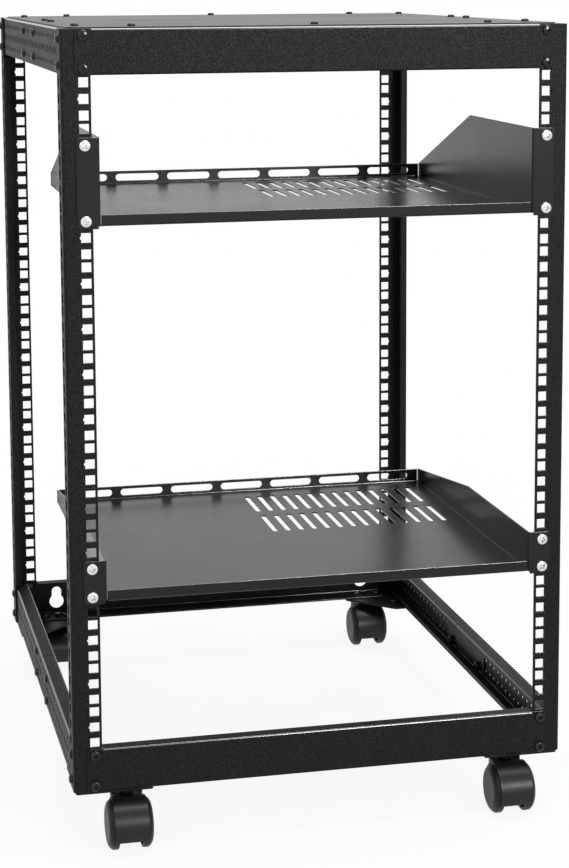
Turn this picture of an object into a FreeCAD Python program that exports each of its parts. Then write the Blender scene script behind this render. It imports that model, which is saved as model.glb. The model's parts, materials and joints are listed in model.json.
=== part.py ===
import FreeCAD, Part
import math
import os

# Four post open frame rack on casters, 15 units clear between its top and bottom beams.
# Sizes in mm, +X right, +Y back, +Z up. Pieces are drawn with Y = 0 on the front posts' face
# and Z = 0 on the floor, and each is moved at the end so that the origin is bottom centre.

V = FreeCAD.Vector
os.makedirs("parts", exist_ok=True)

# 19 inch rack pattern: three square holes in each unit of height
unitHeight = 44.45
unitCount = 17
holesInUnit = 3
firstHole = 6.35
holeStep = 15.875
holeSize = 9.5

# frame
rackDepth = 600.0
rackWidth = 509.0
foldRadius = 0.5
screwClearance = 6.6

# posts
postSheet = 2.0
postFold = 1.0
postFace = 29.0
postSide = 29.0
postLip = 8.0
lipRelief = 4.0
holeInset = 21.95
sideHoleInset = 16.5
unitMarkRadius = 2.0
unitMarkDepth = 1.2

# beams
beamSheet = 1.5
beamTabInset = 13.5
beamTabCorner = 4.0
beamEndGap = 1.0
beamLip = 12.0
topFlange = 48.0
bottomFlange = 29.0
keyholeInset = 54.5
keyholeSlot = 12.0
keyholeRound = 18.0
keyholeHeight = 16.5
keyholeRise = 13.0

# side rails
railSheet = 1.5
railFlange = 16.0
railLip = 6.0
railEndGap = 1.0
railJointGap = 1.2
railScrewInset = 15.0
railScrewSpread = 25.4
railScrewHole = 5.5
spliceLength = 136.0
spliceTall = 36.0
spliceSheet = 2.0
spliceCorner = 3.0
spliceScrewSpan = 100.0
spliceNut = 11.0
spliceNutTall = 4.5
fitGap = 0.2

# top panel
panelSheet = 1.2
panelInset = 7.5
panelCorner = 10.0

# shelves
shelfSheet = 1.5
shelfSideGap = 5.8
shelfDepth = 400.0
shelfFloorRise = 2.5
shelfFrontLip = 11.0
shelfRearLip = 16.0
shelfFlatTop = 203.0
shelfSeam = 0.8
shelfTrim = 0.8
earCorner = 2.0
earSlotWide = 10.0
earSlotTall = 6.8
lipSlotLength = 50.0
lipSlotTall = 8.0
lipSlotPitch = 60.0
lipSlotMargin = 12.0
ventLength = 70.0
ventWide = 6.0
ventPitch = 15.0
ventSideMargin = 20.0
ventRowGap = 19.0
ventRearGap = 30.0
ventRows = 2
reliefHole = 5.0
upperShelfUnit = 12
lowerShelfUnit = 4

# casters
casterHeight = 60.0
casterSideInset = 54.5
casterEndInset = 15.0
casterTrail = 16.0
gussetSheet = 2.5
gussetEndGap = 0.5
gussetBeamMargin = 1.0
gussetRun = 78.0
gussetArm = 26.0
gussetNose = 25.8
gussetCorner = 3.0
stemRadius = 4.0
stemReach = 20.0
stemTop = 4.0
shoulderRadius = 6.8
shoulderTall = 6.0
wheelRadius = 25.0
wheelWide = 10.5
wheelGap = 24.0
wheelTread = 5.5
wheelFaceRadius = 16.5
wheelEdge = 1.2
wheelRim = 3.0
wheelSkin = 2.5
wheelHubRadius = 6.0
wheelSpoke = 1.6
wheelSpokes = 6
wheelBulge = 1.5
wheelSideGap = 0.6
wheelClearance = 0.7
hoodWall = 1.1
hoodWide = 34.0
hoodSkirt = 14.0
hoodBackReach = 20.0
hoodWeb = 4.0
collarRadius = 16.3
collarTop = 52.0
collarTall = 14.0
collarRim = 1.6
collarDish = 1.4
bossRadius = 8.5
bossFoot = 32.0
axleRadius = 3.0
axleBoss = 5.6
axleHold = 6.5
axleEndGap = 0.5
runningGap = 0.05

# places that follow from the sizes above
past = 1.0
near = 0.01
postHeight = unitCount * unitHeight
postOuter = rackWidth / 2
postInner = postOuter - postFace
columnX = postOuter - holeInset
railOuter = postOuter - postSheet
railFace = railOuter - fitGap
beamInner = postInner - beamEndGap
beamHalf = postOuter - beamTabInset
keyholeX = postOuter - keyholeInset
casterX = postOuter - casterSideInset
axleY = casterEndInset - casterTrail
axleHeight = wheelRadius
hoodBore = wheelRadius + wheelClearance
hoodRadius = hoodBore + hoodWall
frontReach = max(beamSheet, hoodRadius - axleY)
originY = (rackDepth + beamSheet - frontReach) / 2


def save(name, shape):
    moved = shape.copy()
    moved.translate(V(0, -originY, 0))
    moved.exportStep("parts/" + name + ".step")
    print(name, "solids", len(shape.Solids), "valid", shape.isValid(), "volume", round(shape.Volume))


def block(x0, x1, y0, y1, z0, z1):
    return Part.makeBox(x1 - x0, y1 - y0, z1 - z0, V(x0, y0, z0))


def roundBar(radius, length, start, direction):
    return Part.makeCylinder(radius, length, start, direction)


def mirrorX(shape):
    return shape.mirror(V(0, 0, 0), V(1, 0, 0))


def mirrorFrontToBack(shape):
    return shape.mirror(V(0, rackDepth / 2, 0), V(0, 1, 0))


def outline(points):
    wire = Part.makePolygon([V(*p) for p in points] + [V(*points[0])])
    return Part.Face(wire)


def roundCorners(shape, radius, wanted):
    return shape.makeFillet(radius, [e for e in shape.Edges if wanted(e.BoundBox)])


def obround(length, width, depth):
    # lies along X in the XZ plane, centred on the origin, and runs from Y = 0 to Y = depth
    half = (length - width) / 2
    radius = width / 2
    upper = Part.LineSegment(V(-half, 0, radius), V(half, 0, radius)).toShape()
    right = Part.Arc(V(half, 0, radius), V(half + radius, 0, 0), V(half, 0, -radius)).toShape()
    lower = Part.LineSegment(V(half, 0, -radius), V(-half, 0, -radius)).toShape()
    left = Part.Arc(V(-half, 0, -radius), V(-half - radius, 0, 0), V(-half, 0, radius)).toShape()
    return Part.Face(Part.Wire([upper, right, lower, left])).extrude(V(0, depth, 0))


def foldedSheet(corners, sheet, fold, along):
    # section of bent sheet metal: corners are on its middle line, fold is the inner bend radius
    # and along is the way the section is extruded, at right angles to it
    points = [V(*c) for c in corners]
    sides = {1: [], -1: []}
    start = {side: None for side in sides}
    for i, point in enumerate(points):
        if i == 0 or i == len(points) - 1:
            before = points[max(i - 1, 0)]
            run = (points[i + 1] - point) if i == 0 else (point - before)
            left = along.cross(run).normalize()
            for side in sides:
                edge = point + left * (side * sheet / 2)
                if start[side] is not None:
                    sides[side].append(Part.LineSegment(start[side], edge).toShape())
                start[side] = edge
            continue
        into = (point - points[i - 1]).normalize()
        out = (points[i + 1] - point).normalize()
        turn = 1 if along.dot(into.cross(out)) > 0 else -1
        middle = fold + sheet / 2
        setback = middle * math.tan(into.getAngle(out) / 2)
        centre = point - into * setback + along.cross(into).normalize() * (turn * middle)
        for side in sides:
            radius = middle - turn * side * sheet / 2
            first = centre - along.cross(into).normalize() * (turn * radius)
            last = centre - along.cross(out).normalize() * (turn * radius)
            halfway = centre + ((first + last) / 2 - centre).normalize() * radius
            sides[side].append(Part.LineSegment(start[side], first).toShape())
            sides[side].append(Part.Arc(first, halfway, last).toShape())
            start[side] = last
    leftEnd = sides[1][-1].Vertexes[-1].Point
    rightEnd = sides[-1][-1].Vertexes[-1].Point
    leftStart = sides[1][0].Vertexes[0].Point
    rightStart = sides[-1][0].Vertexes[0].Point
    edges = sides[1] + [Part.LineSegment(leftEnd, rightEnd).toShape()]
    edges += sides[-1][::-1] + [Part.LineSegment(rightStart, leftStart).toShape()]
    return Part.Face(Part.Wire(Part.__sortEdges__(edges))).extrude(along)


def holeLevel(unit, hole):
    # height above the post's foot of one of the three holes of a unit
    return unitHeight * unit + firstHole + holeStep * hole


def footOf(top):
    # floor height of the unit that a beam and the rails beside it take up
    return casterHeight + (postHeight - unitHeight if top else 0)


def railScrews():
    return [unitHeight / 2 - railScrewSpread / 2, unitHeight / 2 + railScrewSpread / 2]


# posts

def makePost():
    # right front post: a lipped channel with its equipment flange facing forward
    middle = postSheet / 2
    side = postOuter - middle
    back = postSide - middle
    corners = [(postInner, middle, 0), (side, middle, 0), (side, back, 0), (postOuter - postLip, back, 0)]
    post = foldedSheet(corners, postSheet, postFold, V(0, 0, postHeight))
    half = holeSize / 2
    markX = columnX + half + unitMarkDepth - unitMarkRadius
    tools = []
    for unit in range(unitCount):
        for hole in range(holesInUnit):
            level = holeLevel(unit, hole)
            through = (columnX - half, columnX + half, -past, postSheet + past)
            tools.append(block(*through, level - half, level + half))
            if 0 < unit < unitCount - 1:
                through = (railOuter - past, postOuter + past, sideHoleInset - half, sideHoleInset + half)
                tools.append(block(*through, level - half, level + half))
        mark = V(markX, -past, holeLevel(unit, holesInUnit // 2))
        tools.append(roundBar(unitMarkRadius, postSheet + 2 * past, mark, V(0, 1, 0)))
    for foot in (0, postHeight - unitHeight):
        # the lip stops short of the side rails, which pass inside the post
        low = foot - lipRelief
        high = foot + unitHeight + lipRelief
        notchY = postSide - postSheet - postFold
        tools.append(block(postOuter - postLip - past, postOuter + past, notchY, postSide + past, low, high))
        for rise in railScrews():
            start = V(railOuter - past, railScrewInset, foot + rise)
            tools.append(roundBar(railScrewHole / 2, postSheet + 2 * past, start, V(1, 0, 0)))
    post = post.cut(Part.makeCompound(tools))
    post.translate(V(0, 0, casterHeight))
    return post


# beams

def makeBeam(top):
    # front beam: a folded channel between the posts, whose face runs on as two screwed tabs
    tall = unitHeight - fitGap
    low = fitGap if top else 0.0
    half = beamSheet / 2
    upperDeep = topFlange if top else beamLip
    lowerDeep = beamLip if top else bottomFlange
    corners = [
        (-beamInner, upperDeep, low + tall - half),
        (-beamInner, -half, low + tall - half),
        (-beamInner, -half, low + half),
        (-beamInner, lowerDeep, low + half),
    ]
    channel = foldedSheet(corners, beamSheet, foldRadius, V(2 * beamInner, 0, 0))
    tab = block(beamInner, beamHalf, -beamSheet, 0, low, low + tall)
    tab = roundCorners(tab, beamTabCorner, lambda box: box.YLength > near and box.XMin > beamHalf - near)
    beam = channel.fuse([tab, mirrorX(tab)]).removeSplitter()
    tools = []
    for x in (-columnX, columnX):
        for hole in (0, holesInUnit - 1):
            start = V(x, -beamSheet - past, holeLevel(0, hole))
            tools.append(roundBar(screwClearance / 2, beamSheet + 2 * past, start, V(0, 1, 0)))
    if not top:
        for x in (-casterX, casterX):
            start = V(x, casterEndInset, low - past)
            tools.append(roundBar(stemRadius + runningGap, beamSheet + 2 * past, start, V(0, 0, 1)))
    beam = beam.cut(Part.makeCompound(tools))
    beam.translate(V(0, 0, footOf(top)))
    return beam


def keyhole(x, foot):
    # a wall hook's head passes the round end, and its neck rides up into the narrow slot
    level = foot + keyholeHeight
    depth = beamSheet + 2 * past
    y0 = rackDepth - past
    big = roundBar(keyholeRound / 2, depth, V(x, y0, level), V(0, 1, 0))
    neck = roundBar(keyholeSlot / 2, depth, V(x, y0, level + keyholeRise), V(0, 1, 0))
    slot = block(x - keyholeSlot / 2, x + keyholeSlot / 2, y0, y0 + depth, level, level + keyholeRise)
    return big.fuse([neck, slot]).removeSplitter()


def makeRearBeam(top):
    beam = mirrorFrontToBack(makeBeam(top))
    return beam.cut([keyhole(x, footOf(top)) for x in (-keyholeX, keyholeX)])


# side rails

def makeRail(top):
    # right front half of a side rail: a lipped channel open to the inside of the rack
    half = railSheet / 2
    y0 = postSheet + railEndGap
    y1 = (rackDepth - railJointGap) / 2
    inside = railOuter - railFlange + half
    web = railFace - half
    ceiling = unitHeight - half
    corners = [
        (inside, y0, railLip),
        (inside, y0, half),
        (web, y0, half),
        (web, y0, ceiling),
        (inside, y0, ceiling),
        (inside, y0, unitHeight - railLip),
    ]
    rail = foldedSheet(corners, railSheet, foldRadius, V(0, y1 - y0, 0))
    tools = []
    for y in (railScrewInset, (rackDepth - spliceScrewSpan) / 2):
        for rise in railScrews():
            start = V(railFace - railSheet - past, y, rise)
            tools.append(roundBar(railScrewHole / 2, railSheet + 2 * past, start, V(1, 0, 0)))
    rail = rail.cut(Part.makeCompound(tools))
    rail.translate(V(0, 0, footOf(top)))
    return rail


def makeSplice(top):
    # plate behind the joint of two rail halves, with a nut welded on behind each screw
    x1 = railFace - railSheet
    x0 = x1 - spliceSheet
    middle = rackDepth / 2
    z0 = (unitHeight - spliceTall) / 2
    plate = block(x0, x1, middle - spliceLength / 2, middle + spliceLength / 2, z0, z0 + spliceTall)
    plate = roundCorners(plate, spliceCorner, lambda box: abs(box.XLength - spliceSheet) < near)
    tools = []
    for y in (middle - spliceScrewSpan / 2, middle + spliceScrewSpan / 2):
        for level in railScrews():
            nut = roundBar(spliceNut / 2, spliceNutTall, V(x0, y, level), V(-1, 0, 0))
            plate = plate.fuse(nut)
            start = V(x0 - spliceNutTall - past, y, level)
            length = spliceSheet + spliceNutTall + 2 * past
            tools.append(roundBar(railScrewHole / 2, length, start, V(1, 0, 0)))
    plate = plate.removeSplitter().cut(Part.makeCompound(tools))
    plate.translate(V(0, 0, footOf(top)))
    return plate


# top panel

def makePanel():
    half = postOuter - panelInset
    z0 = casterHeight + postHeight
    panel = block(-half, half, panelInset, rackDepth - panelInset, z0, z0 + panelSheet)
    return roundCorners(panel, panelCorner, lambda box: abs(box.ZLength - panelSheet) < near)


# shelves

def makeShelf(earFoot, units, screwLevels):
    # one folded sheet: floor, front and rear lips, and on each side a wing that ends in an ear
    half = postInner - shelfSideGap
    middle = shelfSheet / 2
    foldReach = foldRadius + shelfSheet
    floorZ = earFoot + shelfFloorRise
    earTop = earFoot + units * unitHeight - shelfTrim
    lipHalf = half - shelfSheet - shelfSeam
    wingX = half - middle
    tray = foldedSheet([
        (-lipHalf, -middle, floorZ + shelfFrontLip),
        (-lipHalf, -middle, floorZ + middle),
        (-lipHalf, shelfDepth - middle, floorZ + middle),
        (-lipHalf, shelfDepth - middle, floorZ + shelfRearLip),
    ], shelfSheet, foldRadius, V(2 * lipHalf, 0, 0))
    length = shelfDepth - foldReach + shelfSheet
    wing = foldedSheet([
        (lipHalf - foldReach, foldReach - shelfSheet, floorZ + middle),
        (wingX, foldReach - shelfSheet, floorZ + middle),
        (wingX, foldReach - shelfSheet, earTop),
    ], shelfSheet, foldRadius, V(0, length, 0))
    slope = outline([
        (lipHalf, shelfFlatTop, earTop),
        (lipHalf, shelfDepth, floorZ + shelfRearLip),
        (lipHalf, shelfDepth + past, floorZ + shelfRearLip),
        (lipHalf, shelfDepth + past, earTop + past),
        (lipHalf, shelfFlatTop, earTop + past),
    ]).extrude(V(shelfSheet + 2 * past, 0, 0))
    wing = wing.cut(slope)
    ear = foldedSheet([
        (wingX, foldReach, earFoot),
        (wingX, -middle, earFoot),
        (beamHalf, -middle, earFoot),
    ], shelfSheet, foldRadius, V(0, 0, earTop - earFoot))
    ear = ear.cut(block(half - foldReach, half + foldRadius, -2 * foldReach, 2 * foldReach, earFoot, floorZ))
    ear = roundCorners(ear, earCorner, lambda box: box.YLength > near and box.XMin > beamHalf - near)
    shelf = tray.fuse([wing, mirrorX(wing), ear, mirrorX(ear)]).removeSplitter()
    tools = shelfScrewSlots(screwLevels) + shelfReliefs(half, floorZ)
    tools += shelfLipSlots(half, floorZ) + shelfVents(half, floorZ)
    return shelf.cut(Part.makeCompound(tools))


def shelfScrewSlots(levels):
    slots = []
    for x in (-columnX, columnX):
        for level in levels:
            slot = obround(earSlotWide, earSlotTall, shelfSheet + 2 * past)
            slot.translate(V(x, -shelfSheet - past, level))
            slots.append(slot)
    return slots


def shelfReliefs(half, floorZ):
    # round holes that let the rear corners fold
    inset = shelfSheet + reliefHole / 2
    place = [V(side * (half - inset), shelfDepth - inset, floorZ - past) for side in (-1, 1)]
    return [roundBar(reliefHole / 2, shelfSheet + 2 * past, p, V(0, 0, 1)) for p in place]


def shelfLipSlots(half, floorZ):
    room = 2 * (half - lipSlotMargin) - lipSlotLength
    count = int(room / lipSlotPitch) + 1
    level = floorZ + (shelfRearLip + shelfSheet) / 2
    slots = []
    for i in range(count):
        slot = obround(lipSlotLength, lipSlotTall, shelfSheet + 2 * past)
        slot.translate(V((i - (count - 1) / 2) * lipSlotPitch, shelfDepth - shelfSheet - past, level))
        slots.append(slot)
    return slots


def shelfVents(half, floorZ):
    # rows of long slots in the right rear part of the floor
    count = int((half - ventSideMargin) / ventPitch) + 1
    vents = []
    for row in range(ventRows):
        y = shelfDepth - ventRearGap - ventLength / 2 - row * (ventLength + ventRowGap)
        for i in range(count):
            vent = obround(ventLength, ventWide, shelfSheet + 2 * past)
            vent.rotate(V(0, 0, 0), V(1, 0, 0), 90)
            vent.rotate(V(0, 0, 0), V(0, 0, 1), 90)
            vent.translate(V(i * ventPitch, y, floorZ - past))
            vents.append(vent)
    return vents


# casters

def makeGusset():
    # right front: plate under the beam and side rail, with the stem that the caster turns on
    x0 = casterX - gussetNose
    xArm = railOuter - gussetArm
    y0 = gussetEndGap
    z0 = casterHeight - gussetSheet
    plate = outline([
        (x0, y0, z0),
        (railFace, y0, z0),
        (railFace, gussetRun, z0),
        (xArm, gussetRun, z0),
        (x0, bottomFlange - gussetBeamMargin, z0),
    ]).extrude(V(0, 0, gussetSheet))
    plate = roundCorners(plate, gussetCorner, lambda box: abs(box.ZLength - gussetSheet) < near)
    foot = z0 - stemReach
    top = casterHeight + beamSheet + stemTop
    stem = roundBar(stemRadius, top - foot, V(casterX, casterEndInset, foot), V(0, 0, 1))
    start = V(casterX, casterEndInset, z0 - shoulderTall)
    shoulder = roundBar(shoulderRadius, shoulderTall, start, V(0, 0, 1))
    return plate.fuse([stem, shoulder]).removeSplitter()


def makeHood():
    # right front: turns on the stem, covers the front of both wheels and carries their axle
    acrossX = V(1, 0, 0)
    half = hoodWide / 2
    depth = hoodWide + 2 * past
    shell = roundBar(hoodRadius, hoodWide, V(casterX - half, axleY, axleHeight), acrossX)
    shell = shell.cut(roundBar(hoodBore, depth, V(casterX - half - past, axleY, axleHeight), acrossX))
    web = roundBar(hoodRadius, 2 * hoodWeb, V(casterX - hoodWeb, axleY, axleHeight), acrossX)
    body = shell.fuse(web)
    far = 2 * hoodRadius
    body = body.cut(block(casterX - far, casterX + far, axleY + hoodBackReach, axleY + far, 0, far))
    body = body.cut(block(casterX - far, casterX + far, axleY - far, axleY + far, axleHeight - far, hoodSkirt))
    body = body.cut(block(casterX - far, casterX + far, axleY - far, axleY + far, collarTop, 2 * far))
    up = V(0, 0, 1)
    collar = roundBar(collarRadius, collarTall, V(casterX, casterEndInset, collarTop - collarTall), up)
    wheelRoom = []
    for side in (-1, 1):
        start = V(casterX + side * (wheelGap / 2 - wheelSideGap), axleY, axleHeight)
        wheelRoom.append(roundBar(hoodBore, far, start, V(side, 0, 0)))
    collar = collar.cut(wheelRoom)
    boss = roundBar(bossRadius, collarTop - bossFoot, V(casterX, casterEndInset, bossFoot), up)
    reach = wheelGap / 2 - wheelSideGap
    hub = roundBar(axleBoss, 2 * reach, V(casterX - reach, axleY, axleHeight), acrossX)
    body = body.fuse([collar, boss, hub])
    dish = roundBar(collarRadius - collarRim, far, V(casterX, casterEndInset, collarTop - collarDish), up)
    foot = casterHeight - gussetSheet - stemReach - wheelSideGap
    bore = roundBar(stemRadius + runningGap, far, V(casterX, casterEndInset, foot), up)
    body = body.cut([dish, bore])
    reach = wheelGap / 2 + axleHold
    axle = roundBar(axleRadius, 2 * reach, V(casterX - reach, axleY, axleHeight), acrossX)
    return body.fuse(axle).removeSplitter()


def makeWheel():
    # outer wheel of the right front caster: a domed cup with a spoked hub, bored for the axle
    inner = wheelGap / 2
    outer = inner + wheelWide
    tread = inner + wheelTread
    skin = outer - wheelSkin
    room = wheelRadius - wheelRim
    brow = V(tread, 0, wheelRadius)
    cheek = V(outer, 0, wheelFaceRadius)
    dome = (brow + cheek) / 2 + V(0, 1, 0).cross(cheek - brow).normalize() * -wheelBulge
    soft = wheelEdge * (1 - math.sqrt(0.5))
    edges = [
        Part.LineSegment(V(inner, 0, room), V(inner, 0, wheelRadius - wheelEdge)).toShape(),
        Part.Arc(V(inner, 0, wheelRadius - wheelEdge),
                 V(inner + soft, 0, wheelRadius - soft),
                 V(inner + wheelEdge, 0, wheelRadius)).toShape(),
        Part.LineSegment(V(inner + wheelEdge, 0, wheelRadius), brow).toShape(),
        Part.Arc(brow, dome, cheek).toShape(),
        Part.LineSegment(cheek, V(outer, 0, 0)).toShape(),
        Part.LineSegment(V(outer, 0, 0), V(skin, 0, 0)).toShape(),
        Part.LineSegment(V(skin, 0, 0), V(skin, 0, wheelFaceRadius)).toShape(),
        Part.LineSegment(V(skin, 0, wheelFaceRadius), V(tread, 0, room)).toShape(),
        Part.LineSegment(V(tread, 0, room), V(inner, 0, room)).toShape(),
    ]
    cup = Part.Face(Part.Wire(edges)).revolve(V(0, 0, 0), V(1, 0, 0), 360)
    hub = roundBar(wheelHubRadius, skin - inner, V(inner, 0, 0), V(1, 0, 0))
    spokes = []
    for i in range(wheelSpokes):
        spoke = block(inner + wheelEdge, skin, -wheelSpoke / 2, wheelSpoke / 2, axleRadius, room + wheelRim / 2)
        spoke.rotate(V(0, 0, 0), V(1, 0, 0), 360 / wheelSpokes * i)
        spokes.append(spoke)
    bowl = Part.Face(Part.Wire(Part.makePolygon([
        V(inner, 0, 0), V(inner, 0, room + wheelRim / 2), V(tread, 0, room + wheelRim / 2),
        V(outer - wheelSkin / 2, 0, wheelFaceRadius), V(outer - wheelSkin / 2, 0, 0), V(inner, 0, 0),
    ]))).revolve(V(0, 0, 0), V(1, 0, 0), 360)
    wheel = cup.fuse([hub] + [spoke.common(bowl) for spoke in spokes])
    boreDepth = axleHold + axleEndGap + past
    wheel = wheel.cut(roundBar(axleRadius + runningGap, boreDepth, V(inner - past, 0, 0), V(1, 0, 0)))
    wheel = wheel.removeSplitter()
    wheel.translate(V(casterX, axleY, axleHeight))
    return wheel


# put together

rightPost = makePost()
save("post_front_right", rightPost)
save("post_front_left", mirrorX(rightPost))
save("post_rear_right", mirrorFrontToBack(rightPost))
save("post_rear_left", mirrorX(mirrorFrontToBack(rightPost)))

for level, top in (("bottom", False), ("top", True)):
    save(level + "_beam_front", makeBeam(top))
    save(level + "_beam_rear", makeRearBeam(top))
    rail = makeRail(top)
    save(level + "_rail_right_front", rail)
    save(level + "_rail_left_front", mirrorX(rail))
    save(level + "_rail_right_rear", mirrorFrontToBack(rail))
    save(level + "_rail_left_rear", mirrorX(mirrorFrontToBack(rail)))
    splice = makeSplice(top)
    save(level + "_splice_right", splice)
    save(level + "_splice_left", mirrorX(splice))

save("top_panel", makePanel())

# each shelf is centred between its pair of screw levels: two units above, a single one below
upperScrews = [casterHeight + holeLevel(upperShelfUnit, 2), casterHeight + holeLevel(upperShelfUnit + 2, 1)]
lowerScrews = [casterHeight + holeLevel(lowerShelfUnit, 1), casterHeight + holeLevel(lowerShelfUnit + 1, 0)]
for name, units, screws in (("shelf_upper", 2, upperScrews), ("shelf_lower", 1, lowerScrews)):
    foot = sum(screws) / 2 - (units * unitHeight - shelfTrim) / 2
    save(name, makeShelf(foot, units, screws))

gusset = makeGusset()
hood = makeHood()
wheel = makeWheel()
otherWheel = wheel.mirror(V(casterX, 0, 0), V(1, 0, 0))
toRear = V(0, rackDepth - 2 * casterEndInset, 0)
for end in ("front", "rear"):
    plate = gusset if end == "front" else mirrorFrontToBack(gusset)
    save("caster_gusset_" + end + "_right", plate)
    save("caster_gusset_" + end + "_left", mirrorX(plate))
    for name, shape in (("hood", hood), ("wheel_outer", wheel), ("wheel_inner", otherWheel)):
        piece = shape.copy()
        if end == "rear":
            piece.translate(toRear)
        save("caster_" + name + "_" + end + "_right", piece)
        save("caster_" + name + "_" + end + "_left", mirrorX(piece))

print("origin lies", round(originY, 3), "behind the front posts' face")
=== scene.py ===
import bpy
import bmesh
import json
import math
from mathutils import Matrix, Vector


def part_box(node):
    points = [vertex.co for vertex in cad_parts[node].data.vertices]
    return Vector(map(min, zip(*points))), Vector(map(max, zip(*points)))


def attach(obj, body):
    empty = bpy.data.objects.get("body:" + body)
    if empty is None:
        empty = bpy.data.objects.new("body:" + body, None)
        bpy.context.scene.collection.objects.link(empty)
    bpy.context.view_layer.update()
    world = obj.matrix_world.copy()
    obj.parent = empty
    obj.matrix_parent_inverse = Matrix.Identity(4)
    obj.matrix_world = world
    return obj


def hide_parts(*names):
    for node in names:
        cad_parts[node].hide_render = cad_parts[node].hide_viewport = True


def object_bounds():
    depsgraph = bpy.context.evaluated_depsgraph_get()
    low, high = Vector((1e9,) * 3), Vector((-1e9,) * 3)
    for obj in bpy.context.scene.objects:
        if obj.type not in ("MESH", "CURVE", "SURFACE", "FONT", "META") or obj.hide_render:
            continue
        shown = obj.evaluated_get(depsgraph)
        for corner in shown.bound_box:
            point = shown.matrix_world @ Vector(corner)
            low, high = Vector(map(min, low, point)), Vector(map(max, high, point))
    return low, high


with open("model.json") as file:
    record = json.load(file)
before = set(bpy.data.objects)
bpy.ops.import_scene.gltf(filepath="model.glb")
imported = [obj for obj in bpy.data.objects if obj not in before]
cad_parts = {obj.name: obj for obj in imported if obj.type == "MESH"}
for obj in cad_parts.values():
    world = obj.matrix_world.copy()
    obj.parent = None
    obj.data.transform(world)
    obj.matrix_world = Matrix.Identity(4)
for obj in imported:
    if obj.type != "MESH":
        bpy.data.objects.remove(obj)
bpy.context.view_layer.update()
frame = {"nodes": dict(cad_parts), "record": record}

mm = 0.001


# small helpers

def boxOf(node):
    low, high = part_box(node)
    return Vector(low), Vector(high)


def newPiece(name, mesh, material):
    piece = bpy.data.objects.new(name, mesh)
    bpy.context.collection.objects.link(piece)
    mesh.materials.clear()
    mesh.materials.append(material)
    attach(piece, "frame")
    return piece


def meshFrom(bm, name):
    bmesh.ops.recalc_face_normals(bm, faces=bm.faces)
    mesh = bpy.data.meshes.new(name)
    bm.to_mesh(mesh)
    bm.free()
    return mesh


def shadeSmooth(mesh, sharpFrom):  # edges that turn by more degrees than this stay crisp
    for face in mesh.polygons:
        face.use_smooth = True
    mesh.set_sharp_from_angle(angle=math.radians(sharpFrom))


def lathe(profile, steps):  # profile is (radius, height) pairs, turned about Z
    bm = bmesh.new()
    rings = []
    for radius, height in profile:
        if radius == 0:
            rings.append([bm.verts.new((0, 0, height))])
            continue
        ring = []
        for i in range(steps):
            angle = 2 * math.pi * i / steps
            ring.append(bm.verts.new((radius * math.cos(angle), radius * math.sin(angle), height)))
        rings.append(ring)
    for lower, upper in zip(rings, rings[1:]):
        for i in range(steps):
            j = (i + 1) % steps
            if len(lower) == 1:
                bm.faces.new((lower[0], upper[i], upper[j]))
            elif len(upper) == 1:
                bm.faces.new((lower[i], lower[j], upper[0]))
            else:
                bm.faces.new((lower[i], lower[j], upper[j], upper[i]))
    return bm


def cutWith(mesh, cutter, name):  # a true cut, kept as plain mesh
    body = bpy.data.objects.new(name + "Body", mesh)
    tool = bpy.data.objects.new(name + "Tool", cutter)
    for part in (body, tool):
        bpy.context.collection.objects.link(part)
    cut = body.modifiers.new("cut", "BOOLEAN")
    cut.operation = "DIFFERENCE"
    cut.solver = "EXACT"
    cut.object = tool
    seen = body.evaluated_get(bpy.context.evaluated_depsgraph_get())
    result = bpy.data.meshes.new_from_object(seen)
    result.name = name
    for part in (body, tool):
        bpy.data.objects.remove(part)
    return result


def copiesOf(template, places, name):
    bm = bmesh.new()
    for place in places:
        copy = template.copy()
        copy.transform(place)
        bm.from_mesh(copy)
        bpy.data.meshes.remove(copy)
    mesh = bpy.data.meshes.new(name)
    bm.to_mesh(mesh)
    bm.free()
    return mesh


# finishes

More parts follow.
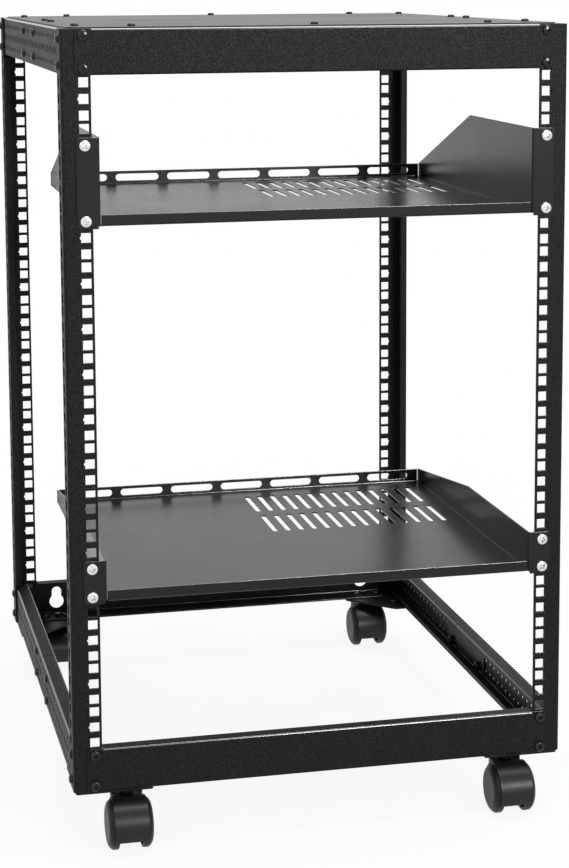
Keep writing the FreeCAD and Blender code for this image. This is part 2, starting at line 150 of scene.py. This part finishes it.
class Finish:
    def __init__(self, name):
        self.material = bpy.data.materials.new(name)
        self.material.use_nodes = True
        self.tree = self.material.node_tree
        self.shader = self.tree.nodes["Principled BSDF"]
        self.where = self.add("ShaderNodeTexCoord").outputs["Object"]

    def add(self, kind, **settings):
        node = self.tree.nodes.new(kind)
        for key, value in settings.items():
            setattr(node, key, value)
        return node

    def link(self, start, end):
        self.tree.links.new(start, end)

    def keep(self, socket, value):  # the same all over
        self.shader.inputs[socket].default_value = value

    def vary(self, socket, source):  # changes from place to place
        self.link(source, self.shader.inputs[socket])

    def noise(self, perMetre, detail, rough):
        node = self.add("ShaderNodeTexNoise")
        node.inputs["Scale"].default_value = perMetre
        node.inputs["Detail"].default_value = detail
        node.inputs["Roughness"].default_value = rough
        self.link(self.where, node.inputs["Vector"])
        return node.outputs["Fac"]

    def cells(self, perMetre):
        node = self.add("ShaderNodeTexVoronoi")
        node.inputs["Scale"].default_value = perMetre
        self.link(self.where, node.inputs["Vector"])
        return node.outputs["Distance"]

    def spread(self, source, low, high, fromLow=0.0, fromHigh=1.0):
        node = self.add("ShaderNodeMapRange")
        node.inputs["From Min"].default_value = fromLow
        node.inputs["From Max"].default_value = fromHigh
        node.inputs["To Min"].default_value = low
        node.inputs["To Max"].default_value = high
        self.link(source, node.inputs["Value"])
        return node.outputs["Result"]

    def times(self, first, second):
        node = self.add("ShaderNodeMath", operation="MULTIPLY")
        self.link(first, node.inputs[0])
        self.link(second, node.inputs[1])
        return node.outputs["Value"]

    def softEdges(self, radius):  # the surface direction, rounded over sharp edges
        node = self.add("ShaderNodeBevel", samples=6)
        node.inputs["Radius"].default_value = radius
        return node.outputs["Normal"]

    def onFolds(self, normal, along):  # 1 on upper folds that run along X or Y, 0 on flat faces
        parts = self.add("ShaderNodeSeparateXYZ")
        self.link(normal, parts.inputs[0])
        level = parts.outputs["Z"]
        sideways = self.add("ShaderNodeMath", operation="ABSOLUTE")
        self.link(parts.outputs[along], sideways.inputs[0])
        notUpright = self.spread(level, 0.0, 1.0, 0.08, 0.30)
        notLevel = self.spread(level, 1.0, 0.0, 0.94, 0.995)
        notAnEnd = self.spread(sideways.outputs["Value"], 1.0, 0.0, 0.06, 0.20)
        return self.times(self.times(notUpright, notLevel), notAnEnd)

    def blend(self, amount, first, second):
        node = self.add("ShaderNodeMix", data_type="RGBA")
        self.link(amount, node.inputs["Factor"])
        for socket, value in ((node.inputs["A"], first), (node.inputs["B"], second)):
            if isinstance(value, tuple):
                socket.default_value = (*value, 1.0)
            else:
                self.link(value, socket)
        return node.outputs["Result"]

    def bump(self, height, strength, depth, under=None):
        node = self.add("ShaderNodeBump")
        node.inputs["Strength"].default_value = strength
        node.inputs["Distance"].default_value = depth
        self.link(height, node.inputs["Height"])
        if under:
            self.link(under, node.inputs["Normal"])
        return node.outputs["Normal"]


def grey(level):
    return (level,) * 3


# base is the paint's own grey, low and high its roughness, shine and fleck the gloss of ground and flecks,
# folds the axis that its bends run along and foldIndex how strongly they mirror; the ripple's depth and
# size, peel and peelSize, fleckSize and edge, the round of an edge, are in mm
powderCoat = {
    "frame_paint": {
        "base": 0.0028, "shine": 0.15, "low": 0.50, "high": 0.58, "peel": 0.32, "peelSize": 3.0,
        "fleck": 0.9, "fleckSize": 1.0, "edge": 0.5, "folds": "X", "foldIndex": 2.1,
    },
    "panel_paint": {
        "base": 0.0050, "shine": 0.28, "low": 0.35, "high": 0.42, "peel": 0.12, "peelSize": 3.0,
        "fleck": 0.6, "fleckSize": 1.0, "edge": 0.4, "folds": "X", "foldIndex": 1.3,
    },
    "shelf_paint": {
        "base": 0.0025, "shine": 0.30, "low": 0.24, "high": 0.29, "peel": 0.05, "peelSize": 3.5,
        "fleck": 0.5, "fleckSize": 0.9, "edge": 0.75, "folds": "X", "foldIndex": 2.5,
    },
    "bracket_paint": {
        "base": 0.0028, "shine": 0.20, "low": 0.42, "high": 0.50, "peel": 0.20, "peelSize": 3.0,
        "fleck": 0.6, "fleckSize": 1.0, "edge": 0.5, "folds": "X", "foldIndex": 1.5,
    },
}
# the same paint on side rails, whose bends run from front to back
powderCoat["railPaint"] = {**powderCoat["frame_paint"], "folds": "Y", "foldIndex": 1.6}

# what all of them share, with patches and grains counted to the metre
everyCoat = {"patches": 9, "dark": 0.8, "light": 1.25, "fleckCore": 0.12, "fleckRim": 0.30, "fleckLight": 4,
             "fleckRough": 0.55, "grains": 1300, "grainDepth": 0.4, "foldRough": 0.15}


def makePowderCoat(name, look):
    paint = Finish(name)
    patch = paint.noise(everyCoat["patches"], 4, 0.55)  # slow change over a hand's width
    cells = paint.cells(1000 / look["fleckSize"])
    fleck = paint.spread(cells, 1.0, 0.0, everyCoat["fleckCore"], everyCoat["fleckRim"])
    rounded = paint.softEdges(look["edge"] * mm)
    base = look["base"]
    ground = paint.blend(patch, grey(base * everyCoat["dark"]), grey(base * everyCoat["light"]))
    paint.vary("Base Color", paint.blend(fleck, ground, grey(base * everyCoat["fleckLight"])))
    paint.vary("Specular IOR Level", paint.spread(fleck, look["shine"], look["fleck"]))
    calm = paint.spread(patch, look["low"], look["high"], 0.3, 0.7)
    fleckSmooth = paint.spread(fleck, 1.0, everyCoat["fleckRough"])  # flecks are smoother
    paint.vary("Roughness", paint.times(calm, fleckSmooth))
    paint.vary("Coat Weight", paint.onFolds(rounded, look["folds"]))  # the coat is drawn smooth on a bend
    paint.keep("Coat IOR", look["foldIndex"])
    paint.keep("Coat Roughness", everyCoat["foldRough"])
    waves = paint.noise(1000 / look["peelSize"], 2, 0.5)
    orangePeel = paint.bump(waves, 0.5, look["peel"] * mm, rounded)
    grains = paint.noise(everyCoat["grains"], 2, 0.6)
    grain = paint.bump(grains, 0.4, look["peel"] * everyCoat["grainDepth"] * mm, orangePeel)
    paint.vary("Normal", grain)
    paint.vary("Coat Normal", rounded)
    return paint.material


mouldedNylon = {
    "caster_hood": {"base": 0.0035, "shine": 0.34, "low": 0.32, "high": 0.40, "clouds": 60, "grains": 2200},
    "caster_wheel": {"base": 0.0045, "shine": 0.24, "low": 0.40, "high": 0.48, "clouds": 60, "grains": 2000},
}


def makeNylon(name, look):
    nylon = Finish(name)
    patch = nylon.noise(look["clouds"], 4, 0.6)
    base = look["base"]
    nylon.vary("Base Color", nylon.blend(patch, grey(base * 0.8), grey(base * 1.3)))
    nylon.keep("Specular IOR Level", look["shine"])
    nylon.vary("Roughness", nylon.spread(patch, look["low"], look["high"], 0.3, 0.7))
    soft = nylon.bump(nylon.noise(look["grains"] * 0.1, 3, 0.5), 0.12, 0.1 * mm)
    nylon.vary("Normal", nylon.bump(nylon.noise(look["grains"], 2, 0.5), 0.25, 0.02 * mm, soft))
    return nylon.material


platedSteel = {
    "blackScrewSteel": {
        "colour": (0.006, 0.006, 0.006), "metal": 0.0, "shine": 0.34, "low": 0.08, "high": 0.14,
        "clouds": 400, "grains": 3000,
    },
    "nickelScrewSteel": {
        "colour": (0.74, 0.73, 0.71), "metal": 1.0, "shine": 0.5, "low": 0.16, "high": 0.28,
        "clouds": 400, "grains": 3000,
    },
}


def makePlatedSteel(name, look):
    steel = Finish(name)
    cloud = steel.noise(look["clouds"], 3, 0.55)
    darker = tuple(channel * 0.8 for channel in look["colour"])
    lighter = tuple(min(1, channel * 1.15) for channel in look["colour"])
    steel.vary("Base Color", steel.blend(cloud, darker, lighter))
    steel.keep("Metallic", look["metal"])
    steel.keep("Specular IOR Level", look["shine"])
    steel.vary("Roughness", steel.spread(cloud, look["low"], look["high"], 0.3, 0.7))
    steel.vary("Normal", steel.bump(steel.noise(look["grains"], 2, 0.5), 0.15, 0.01 * mm))
    return steel.material


finishMakers = ((powderCoat, makePowderCoat), (mouldedNylon, makeNylon), (platedSteel, makePlatedSteel))
finishes = {name: make(name, look) for looks, make in finishMakers for name, look in looks.items()}

slotOfNode = {part["node"]: part["material_slot"] for part in frame["record"]["subparts"]}
for nodeName, nodeObject in frame["nodes"].items():
    nodeObject.data.materials.clear()
    nodeObject.data.materials.append(finishes[slotOfNode[nodeName]])
print("finishes done")


# where things are on the frame

unit = 44.45 * mm
postLow, postHigh = boxOf("post_front_right")
footZ = postLow.z  # the foot of the posts, on the casters
ringFeet = (footZ, postHigh.z - unit)  # where the lower and the upper ring of beams and rails start
sideX = postHigh.x
columnX = sideX - 21.95 * mm  # the middle of the square holes
frontY = postLow.y
rearY = boxOf("post_rear_right")[1].y
middleY = (frontY + rearY) / 2


# side rails with their rows of slots, in mm

railSlots = {
    "first": 32.5, "pitch": 14.0, "last": 6.0,  # from the post's end, slot to slot, short of the joint
    "wide": 5.4, "depth": 4.0, "arcSteps": 5,
    "rows": ((9.6, 5.0), (22.2, 8.2), (34.9, 5.0)),  # height on the rail, and how tall the slots are
}
railScrews = {"fromPost": 15.0, "fromMiddle": 50.0, "spread": 25.4,
              "clear": 8.0, "webInset": 2.2}  # kept free of slots, and from post's side to rail's web


def slotPrism(bm, centre, wide, tall, depth):  # an upright slot with round ends, cut along X
    radius = wide / 2
    straight = max(0.0, tall / 2 - radius)
    ring = []
    for end, start in ((1, 0.0), (-1, math.pi)):
        for i in range(railSlots["arcSteps"] + 1):
            angle = start + math.pi * i / railSlots["arcSteps"]
            ring.append((radius * math.cos(angle), end * straight + radius * math.sin(angle)))
    left = [bm.verts.new((centre.x - depth, centre.y + a, centre.z + b)) for a, b in ring]
    right = [bm.verts.new((centre.x + depth, centre.y + a, centre.z + b)) for a, b in ring]
    bm.faces.new(left)
    bm.faces.new(right[::-1])
    for i in range(len(ring)):
        j = (i + 1) % len(ring)
        bm.faces.new((left[j], left[i], right[i], right[j]))


def slotsOf(node):
    low, high = boxOf(node)
    web = high.x if "_right_" in node else low.x
    front = node.endswith("front")
    postEnd, joint = (low.y, high.y) if front else (high.y, low.y)
    inward = 1 if front else -1
    screwY = middleY - inward * railScrews["fromMiddle"] * mm
    middleZ = (low.z + high.z) / 2
    clear = railScrews["clear"] * mm
    wide, depth = railSlots["wide"] * mm, railSlots["depth"] * mm
    bm = bmesh.new()
    along = railSlots["first"] * mm
    while along < abs(joint - postEnd) - railSlots["last"] * mm:
        y = postEnd + inward * along
        for row, tall in railSlots["rows"]:
            z = low.z + row * mm
            screwZ = middleZ + math.copysign(railScrews["spread"] / 2 * mm, z - middleZ)
            if abs(y - screwY) < clear and abs(z - screwZ) < clear:
                continue
            slotPrism(bm, Vector((web, y, z)), wide, tall * mm, depth)
        along += railSlots["pitch"] * mm
    return meshFrom(bm, node + "Slots")


def weldedCopy(node):  # the cut needs faces that share their corners
    bm = bmesh.new()
    bm.from_mesh(frame["nodes"][node].data)
    bmesh.ops.remove_doubles(bm, verts=bm.verts, dist=0.005 * mm)
    mesh = frame["nodes"][node].data.copy()
    bm.to_mesh(mesh)
    bm.free()
    return mesh


def perforateRail(node):
    mesh = cutWith(weldedCopy(node), slotsOf(node), node + "_slotted")
    shadeSmooth(mesh, 28)
    piece = newPiece(node + "_slotted", mesh, finishes["railPaint"])
    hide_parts(node)


for railNode in [node for node in frame["nodes"] if "_rail_" in node]:
    perforateRail(railNode)
print("side rails slotted")


# screws, in mm

screwHeads = {
    "beam": {"across": 11.0, "tall": 3.6, "recess": 5.8},
    "rail": {"across": 9.0, "tall": 3.2, "recess": 4.8},
    "panel": {"across": 8.0, "tall": 2.9, "recess": 4.2},
    "shelf": {"across": 11.6, "tall": 4.0, "recess": 7.0},
    "gusset": {"across": 10.0, "tall": 3.4, "recess": 5.2},
}


def crossPrism(reach, half, low, high):  # driver recess: a plus outline that narrows downwards
    quarter = [(reach, -half), (reach, half), (half, half)]
    bm = bmesh.new()
    rings = []
    for height, size in ((low, 0.55), (high, 1.0)):
        ring = []
        for k in range(4):
            spin = Matrix.Rotation(k * math.pi / 2, 3, "Z")
            ring += [bm.verts.new(spin @ Vector((x * size, y * size, height))) for x, y in quarter]
        rings.append(ring)
    lower, upper = rings
    bm.faces.new(lower[::-1])
    bm.faces.new(upper)
    for i in range(len(lower)):
        j = (i + 1) % len(lower)
        bm.faces.new((lower[i], lower[j], upper[j], upper[i]))
    bmesh.ops.triangulate(bm, faces=bm.faces)
    return meshFrom(bm, "cross")


def panHead(kind):  # the outline is in shares of the head's radius and height
    look = screwHeads[kind]
    radius = look["across"] / 2 * mm
    tall = look["tall"] * mm
    sunk = -0.3 * mm
    profile = [(0, sunk), (radius * 0.94, sunk), (radius * 0.97, 0), (radius, 0.25 * mm)]
    for i in range(1, 8):  # rounded shoulder up to a nearly flat crown
        angle = math.pi / 2 * i / 7
        profile.append((radius * (0.62 + 0.38 * math.cos(angle)), tall * (0.30 + 0.60 * math.sin(angle))))
    profile += [(radius * 0.34, tall * 0.97), (0, tall)]
    head = meshFrom(lathe(profile, 28), kind + "Head")
    reach = look["recess"] / 2 * mm
    cross = crossPrism(reach, reach * 0.28, tall * 0.30, tall + mm)
    mesh = cutWith(head, cross, kind + "Screw")
    shadeSmooth(mesh, 30)
    return mesh


def placesOn(spots):  # each spot is (point, normal), and each head's cross is turned its own way
    places = []
    for i, (point, normal) in enumerate(spots):
        aim = Vector(normal).to_track_quat("Z", "Y").to_matrix().to_4x4()
        spin = Matrix.Rotation(math.radians((i * 37) % 90), 4, "Z")
        places.append(Matrix.Translation(point) @ aim @ spin)
    return places


beamScrewHeights = (6.35, 38.1)  # the first and the last hole of a unit


def beamScrewSpots():
    faces = ((boxOf("bottom_beam_front")[0].y, (0, -1, 0)), (boxOf("bottom_beam_rear")[1].y, (0, 1, 0)))
    return [(Vector((x, y, foot + rise * mm)), normal) for y, normal in faces for foot in ringFeet
            for x in (-columnX, columnX) for rise in beamScrewHeights]


def railScrewSpots():
    spots = []
    fromPost, fromMiddle = railScrews["fromPost"] * mm, railScrews["fromMiddle"] * mm
    webX = sideX - railScrews["webInset"] * mm
    for side in (-1, 1):
        for foot in ringFeet:
            for step in (-1, 1):
                z = foot + unit / 2 + step * railScrews["spread"] / 2 * mm
                for y in (frontY + fromPost, rearY - fromPost):
                    spots.append((Vector((side * sideX, y, z)), (side, 0, 0)))
                for y in (middleY - fromMiddle, middleY + fromMiddle):
                    spots.append((Vector((side * webX, y, z)), (side, 0, 0)))
    return spots


# X from the middle and Y from the posts' front face
panelScrews = {"frontX": (-180, 3, 183), "frontY": 38, "rearX": (-178, 0, 176), "rearY": 563,
               "sideX": 232, "sideY": (65, 262, 318, 535)}


def panelScrewSpots():
    top = boxOf("top_panel")[1].z
    spots = [(x, panelScrews["frontY"]) for x in panelScrews["frontX"]]
    spots += [(x, panelScrews["rearY"]) for x in panelScrews["rearX"]]
    spots += [(side * panelScrews["sideX"], y) for side in (-1, 1) for y in panelScrews["sideY"]]
    return [(Vector((x * mm, frontY + y * mm, top)), (0, 0, 1)) for x, y in spots]


shelfScrews = {"shelf_upper": 73.025, "shelf_lower": 28.575}  # between the two screws of an ear


def shelfScrewSpots():
    earY = boxOf("shelf_upper")[0].y
    spots = []
    for node, gap in shelfScrews.items():
        low, high = boxOf(node)
        for x in (-columnX, columnX):
            for step in (-1, 1):
                z = (low.z + high.z) / 2 + step * gap / 2 * mm
                spots.append((Vector((x, earY, z)), (0, -1, 0)))
    return spots


# at each corner, two through the lower beam's flange and one through the plate's arm;
# each is out from the middle, in from the frame's end and up from the post's foot
gussetScrews = ((190, 14, 1.5), (217, 14, 1.5), (231, 54, 0))


def gussetScrewSpots():
    spots = []
    for side in (-1, 1):
        for edge, inward in ((frontY, 1), (rearY, -1)):
            for out, back, rise in gussetScrews:
                point = Vector((side * out * mm, edge + inward * back * mm, footZ + rise * mm))
                spots.append((point, (0, 0, 1)))
    return spots


screwSets = (
    ("beam", beamScrewSpots(), "blackScrewSteel"),
    ("rail", railScrewSpots(), "blackScrewSteel"),
    ("panel", panelScrewSpots(), "blackScrewSteel"),
    ("shelf", shelfScrewSpots(), "nickelScrewSteel"),
    ("gusset", gussetScrewSpots(), "blackScrewSteel"),
)
for kind, spots, finish in screwSets:
    screws = copiesOf(panHead(kind), placesOn(spots), kind + "_screws")
    newPiece(kind + "_screws", screws, finishes[finish])
print("screws set")


# room, light and camera, in metres

room = {"floorSize": 16.0, "floorColour": 0.90, "floorDrop": 0.0002, "worldGlow": 0.40,
        "shadowShare": 0.10, "shadowFrom": 0.3, "shadowReach": 1.5}  # how much shadow, and how far out


def showsWhite(tree):  # 1 for what is seen directly, in a reflection or through glass
    rays = tree.nodes.new("ShaderNodeLightPath")
    seen = rays.outputs["Is Camera Ray"]
    for kind in ("Is Glossy Ray", "Is Transmission Ray"):
        either = tree.nodes.new("ShaderNodeMath")
        either.operation = "MAXIMUM"
        tree.links.new(seen, either.inputs[0])
        tree.links.new(rays.outputs[kind], either.inputs[1])
        seen = either.outputs[0]
    return seen


def makeFloor():
    bm = bmesh.new()
    bmesh.ops.create_grid(bm, x_segments=2, y_segments=2, size=room["floorSize"] / 2)
    floor = bpy.data.objects.new("floor", meshFrom(bm, "floor"))
    bpy.context.collection.objects.link(floor)
    floor.location.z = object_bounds()[0][2] - room["floorDrop"]
    paper = Finish("paleFloor")
    paper.keep("Base Color", (*grey(room["floorColour"]), 1))
    paper.keep("Roughness", 0.9)
    paper.keep("Specular IOR Level", 0.1)
    glow = paper.add("ShaderNodeEmission")
    distance = paper.add("ShaderNodeVectorMath", operation="LENGTH")
    paper.link(paper.where, distance.inputs[0])
    plain = paper.spread(distance.outputs["Value"], 1 - room["shadowShare"], 1.0,
                         room["shadowFrom"], room["shadowReach"])
    plain.node.interpolation_type = "SMOOTHSTEP"
    mix = paper.add("ShaderNodeMixShader")
    paper.link(paper.times(plain, showsWhite(paper.tree)), mix.inputs["Fac"])
    paper.link(paper.shader.outputs["BSDF"], mix.inputs[1])
    paper.link(glow.outputs["Emission"], mix.inputs[2])
    paper.link(mix.outputs["Shader"], paper.tree.nodes["Material Output"].inputs["Surface"])
    floor.data.materials.append(paper.material)


def makeWorld():
    world = bpy.data.worlds.new("studio")
    bpy.context.scene.world = world
    world.use_nodes = True
    tree = world.node_tree
    back = tree.nodes["Background"]
    back.inputs["Color"].default_value = (1, 1, 1, 1)
    level = tree.nodes.new("ShaderNodeMapRange")
    level.inputs["To Min"].default_value = room["worldGlow"]
    level.inputs["To Max"].default_value = 1.0
    tree.links.new(showsWhite(tree), level.inputs["Value"])
    tree.links.new(level.outputs["Result"], back.inputs["Strength"])


lamps = {
    "frontSoftbox": {"at": (1.0, -3.3, 1.5), "aim": (0, 0, 0.55), "size": 0.8, "power": 55},
    "leftSoftbox": {"at": (-2.4, -2.8, 2.0), "aim": (0, 0, 0.5), "size": 0.8, "power": 26},
    "topSoftbox": {"at": (0.3, 0.0, 3.0), "aim": (0, 0, 0.5), "size": 1.6, "power": 60},
}


def makeLamps():
    for name, look in lamps.items():
        light = bpy.data.lights.new(name, "AREA")
        light.shape = "SQUARE"
        light.size = look["size"]
        light.energy = look["power"]
        lamp = bpy.data.objects.new(name, light)
        bpy.context.collection.objects.link(lamp)
        lamp.location = look["at"]
        aim = Vector(look["aim"]) - Vector(look["at"])
        lamp.rotation_euler = aim.to_track_quat("-Z", "Y").to_euler()


cameraLook = {"at": (-0.4937, -2.28415, 0.8642), "yaw": 12.875, "pitch": -7.703, "roll": -0.288,
              "lens": 87.247, "sensor": 36, "shiftX": 0.0, "shiftY": -0.20, "near": 0.05, "far": 60}


def makeCamera():
    data = bpy.data.cameras.new("camera")
    camera = bpy.data.objects.new("camera", data)
    bpy.context.collection.objects.link(camera)
    yaw, pitch, roll = (math.radians(cameraLook[angle]) for angle in ("yaw", "pitch", "roll"))
    ahead = Vector((math.sin(yaw) * math.cos(pitch), math.cos(yaw) * math.cos(pitch), math.sin(pitch)))
    level = Vector((math.cos(yaw), -math.sin(yaw), 0))
    upright = level.cross(ahead)
    right = level * math.cos(roll) + upright * math.sin(roll)
    above = upright * math.cos(roll) - level * math.sin(roll)
    turned = Matrix((right, above, -ahead)).transposed().to_4x4()
    camera.matrix_world = Matrix.Translation(cameraLook["at"]) @ turned
    data.lens = cameraLook["lens"]
    data.sensor_width = cameraLook["sensor"]
    data.shift_x = cameraLook["shiftX"]
    data.shift_y = cameraLook["shiftY"]
    data.clip_start = cameraLook["near"]
    data.clip_end = cameraLook["far"]
    bpy.context.scene.camera = camera


makeFloor()
makeWorld()
makeLamps()
makeCamera()
bpy.context.scene.view_settings.view_transform = "Standard"
print("room, light and camera set")
